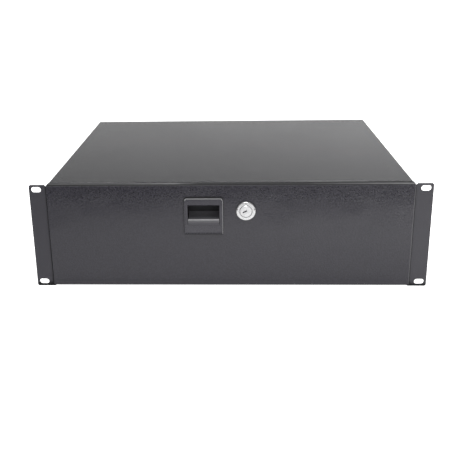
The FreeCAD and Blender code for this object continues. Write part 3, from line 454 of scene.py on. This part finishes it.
# brightness of the surroundings, as (height from the nadir at 0 to the zenith at 1, level)
SKY_REAR = ((0.0, 0.10), (0.47, 0.12), (0.52, 0.90), (0.59, 1.42), (0.615, 0.80), (0.64, 0.20), (0.8, 0.14),
            (1.0, 0.3))
SKY_FRONT = ((0.0, 0.10), (0.47, 0.12), (0.53, 0.50), (0.62, 0.85), (0.80, 0.85), (1.0, 0.30))
SKY_LEFT, SKY_RIGHT = 0.64, 1.29

# name, place, aim, size and power
SOFT_LIGHTS = (
    ("overhead", (-0.02, -0.30, 1.1), (0, 0, 0.03), 0.5, 9),
    ("strip_left", (-0.36, 0.15, 1.0), (-0.15, 0, 0.06), 0.25, 2),
    ("strip_right", (0.55, 0.15, 1.0), (0.15, 0, 0.06), 0.25, 2),
)

CAMERA_PLACE = (0.0079, -0.7860, 0.3166)
CAMERA_TURN, CAMERA_DIP, CAMERA_ROLL = -2.607, 17.562, -1.072   # degrees
CAMERA_LENS, CAMERA_SENSOR = 54.275, 36.0                       # mm
CAMERA_SHIFT = (0.05365, -0.1015)                               # parts of the picture's width
CAMERA_CLIP = (0.02, 50)


def glow_across(tree, x, level):
    """The paper's glow at this level, weak on the left and strong on the right."""
    return span(tree, x, *GLOW_WIDTH, GLOW_LEFT * level, GLOW_RIGHT * level)


def stage_sheet(name, left, right, front, back, level):
    """A flat sheet that can glow white, and its material's tree."""
    mesh = bpy.data.meshes.new(name)
    corners = [(left, front, level), (right, front, level), (right, back, level), (left, back, level)]
    mesh.from_pydata(corners, [], [(0, 1, 2, 3)])
    sheet = bpy.data.objects.new(name, mesh)
    bpy.context.scene.collection.objects.link(sheet)
    material, tree = new_material(name + "_paper")
    shader_input(tree, "Emission Color").default_value = (1, 1, 1, 1)
    mesh.materials.append(material)
    return sheet, tree


def stage_floor(level):
    """White paper that glows to the camera. The object gets less light from it close to its foot and on the
    left."""
    _, tree = stage_sheet("floor", -FLOOR_REACH, FLOOR_REACH, -FLOOR_REACH, FLOOR_REACH, level)
    slow = grain(tree, object_coords(tree), 3)
    surface(tree, mixed(tree, slow, (0.93, 0.93, 0.93), (0.95, 0.95, 0.95)), PAPER_ROUGHNESS)
    x, y, _ = position(tree)
    glow = multiply(tree, span(tree, y, *GLOW_DEPTH, FLOOR_GLOW, FOOT_GLOW), glow_across(tree, x, 1))
    feed(tree, shader_input(tree, "Emission Strength"),
         mixed(tree, ray(tree, "Is Camera Ray"), glow, GLOW_TO_CAMERA))


def dark_card(level):
    """A dark card on the table, out of the camera's sight: the upper part of the shut front mirrors it.
    From close by, where the pulled-out drawer stands over it, it is as bright as the paper around it."""
    card, tree = stage_sheet("card", -CARD_HALF_WIDTH, CARD_HALF_WIDTH, CARD_FRONT, CARD_BACK,
                             level + CARD_LIFT)
    fine = grain(tree, object_coords(tree), 40)
    surface(tree, mixed(tree, fine, (0.03, 0.03, 0.034), (0.045, 0.045, 0.05)), PAPER_ROUGHNESS)
    close = fall(tree, ray(tree, "Ray Length"), CARD_BRIGHT, CARD_DARK)
    recoat(tree, close, (0.94, 0.94, 0.94))
    x, _, _ = position(tree)
    feed(tree, shader_input(tree, "Emission Strength"),
         multiply(tree, close, glow_across(tree, x, FLOOR_GLOW)))
    card.visible_camera = False


def set_world():
    """White backdrop. What the object itself sees is a bright band low behind it, an even room in front of
    it, and little overhead or below the table's edge, all of it brighter to the right."""
    world = bpy.data.worlds.new("studio")
    world.use_nodes = True
    tree = world.node_tree
    x, y, z = axes(tree, tree.nodes.new("ShaderNodeTexCoord").outputs["Generated"])
    height = rise(tree, z, -1, 1)
    room = mixed(tree, rise(tree, y, -0.4, 0.5),
                 curve(tree, height, SKY_FRONT), curve(tree, height, SKY_REAR))
    sky = multiply(tree, room, span(tree, x, -0.5, 0.5, SKY_LEFT, SKY_RIGHT))
    background = tree.nodes["Background"]
    background.inputs["Color"].default_value = (1, 1, 1, 1)
    feed(tree, background.inputs["Strength"], mixed(tree, ray(tree, "Is Camera Ray"), sky, 1.0))
    bpy.context.scene.world = world


def set_camera():
    turn, dip, roll = radians(CAMERA_TURN), radians(CAMERA_DIP), radians(CAMERA_ROLL)
    forward = Vector((sin(turn) * cos(dip), cos(turn) * cos(dip), -sin(dip)))
    level = Vector((cos(turn), -sin(turn), 0))
    above = level.cross(forward)
    right = level * cos(roll) + above * sin(roll)
    up = above * cos(roll) - level * sin(roll)
    data = bpy.data.cameras.new("camera")
    data.sensor_width = CAMERA_SENSOR
    data.lens = CAMERA_LENS
    data.shift_x, data.shift_y = CAMERA_SHIFT
    data.clip_start, data.clip_end = CAMERA_CLIP
    camera = bpy.data.objects.new("camera", data)
    facing = Matrix((right, up, -forward)).transposed().to_4x4()
    camera.matrix_world = Matrix.Translation(CAMERA_PLACE) @ facing
    bpy.context.scene.collection.objects.link(camera)
    bpy.context.scene.camera = camera


def soft_light(name, place, aim, size, power):
    data = bpy.data.lights.new(name, "AREA")
    data.size = size
    data.energy = power
    lamp = bpy.data.objects.new(name, data)
    lamp.location = place
    lamp.rotation_mode = "QUATERNION"
    lamp.rotation_quaternion = (Vector(aim) - Vector(place)).to_track_quat("-Z", "Y")
    bpy.context.scene.collection.objects.link(lamp)


stage_floor(cad_box[0].z)
dark_card(cad_box[0].z)
set_world()
set_camera()
for light in SOFT_LIGHTS:
    soft_light(*light)
bpy.context.scene.view_settings.view_transform = "Standard"
